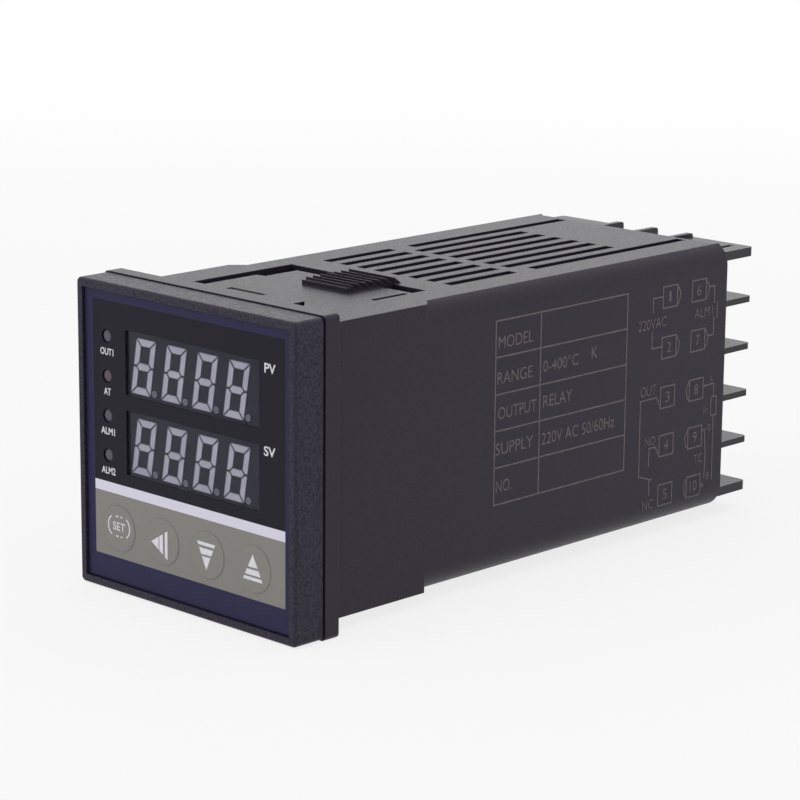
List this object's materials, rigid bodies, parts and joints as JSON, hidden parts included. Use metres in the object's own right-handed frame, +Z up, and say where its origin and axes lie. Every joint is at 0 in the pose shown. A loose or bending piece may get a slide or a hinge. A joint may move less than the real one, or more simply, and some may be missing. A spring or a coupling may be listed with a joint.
{
  "type": "pid temperature controller",
  "caption": "Panel-mounted digital temperature controller with a square face, two numeric displays, four keys, a vented plug-in case and a rear terminal block.",
  "frame": {"origin": "centre of the panel cut-out, in the plane of the panel's front face, where the flange seats", "axes": "+X right as the face is looked at, +Y from the face into the cabinet along the case, +Z up"},
  "size_m": [0.048, 0.108, 0.048],
  "materials": {
    "case_plastic": "spark-eroded matte moulding",
    "terminal_plastic": "spark-eroded matte moulding",
    "frame_plastic": "fine matte moulding",
    "contact_metal": "nickel-plated brass strip",
    "zinc_steel": "zinc-plated steel",
    "front_print": "screen-printed polycarbonate film",
    "window_tint": "clear tinted film",
    "display_shell": "moulded display face",
    "segment_diffuser": "pale cast epoxy",
    "lamp_lens": "diffusing epoxy",
    "key_plastic": "moulded",
    "switch_plastic": "moulded",
    "board_laminate": "solder-masked laminate",
    "strip_plastic": "moulded",
    "core_steel": "stacked and varnished laminations",
    "coil_tape": "polyester tape over the winding",
    "relay_plastic": "moulded",
    "can_sleeve": "shrink sleeve",
    "diode_plastic": "moulded with a cathode band",
    "varistor_coat": "dipped coating",
    "chip_plastic": "moulded",
    "crystal_can": "drawn steel can",
    "regulator_plastic": "moulded on a tinned tab"
  },
  "bodies": {
    "case": {"outer_case": "case_plastic", "terminal_block": "terminal_plastic", "terminal_contacts": "contact_metal", "terminal_washers": "zinc_steel", "terminal_screws": "zinc_steel"},
    "chassis": {"front_frame": "frame_plastic", "front_film": "front_print", "window_panes": "window_tint", "pv_display": "display_shell", "sv_display": "display_shell", "pv_segments": "segment_diffuser", "sv_segments": "segment_diffuser", "indicator_lamps": "lamp_lens", "tact_switches": "switch_plastic", "front_board": "board_laminate", "signal_board": "board_laminate", "supply_board": "board_laminate", "link_strips": "strip_plastic", "transformer_core": "core_steel", "transformer_coil": "coil_tape", "output_relay": "relay_plastic", "alarm_relay": "relay_plastic", "small_capacitors": "can_sleeve", "rectifier_diodes": "diode_plastic", "surge_varistor": "varistor_coat", "controller_chip": "chip_plastic", "memory_chip": "chip_plastic", "input_amplifier": "chip_plastic", "smoothing_capacitor": "can_sleeve", "clock_crystal": "crystal_can", "voltage_regulator": "regulator_plastic"},
    "set_key": {"key_set": "key_plastic", "stem_set": "switch_plastic"},
    "shift_key": {"key_shift": "key_plastic", "stem_shift": "switch_plastic"},
    "down_key": {"key_down": "key_plastic", "stem_down": "switch_plastic"},
    "up_key": {"key_up": "key_plastic", "stem_up": "switch_plastic"}
  },
  "joints": [
    {"name": "chassis_draw", "type": "slide", "parent": "case", "child": "chassis", "axis": [0, -1, 0], "range_m": [0, 0.079]},
    {"name": "set_press", "type": "slide", "parent": "chassis", "child": "set_key", "axis": [0, 1, 0], "range_m": [0, 0.00025], "stiffness_N_per_m": 1500, "springref_m": -0.0003},
    {"name": "shift_press", "type": "slide", "parent": "chassis", "child": "shift_key", "axis": [0, 1, 0], "range_m": [0, 0.00025], "stiffness_N_per_m": 1500, "springref_m": -0.0003},
    {"name": "down_press", "type": "slide", "parent": "chassis", "child": "down_key", "axis": [0, 1, 0], "range_m": [0, 0.00025], "stiffness_N_per_m": 1500, "springref_m": -0.0003},
    {"name": "up_press", "type": "slide", "parent": "chassis", "child": "up_key", "axis": [0, 1, 0], "range_m": [0, 0.00025], "stiffness_N_per_m": 1500, "springref_m": -0.0003}
  ]
}
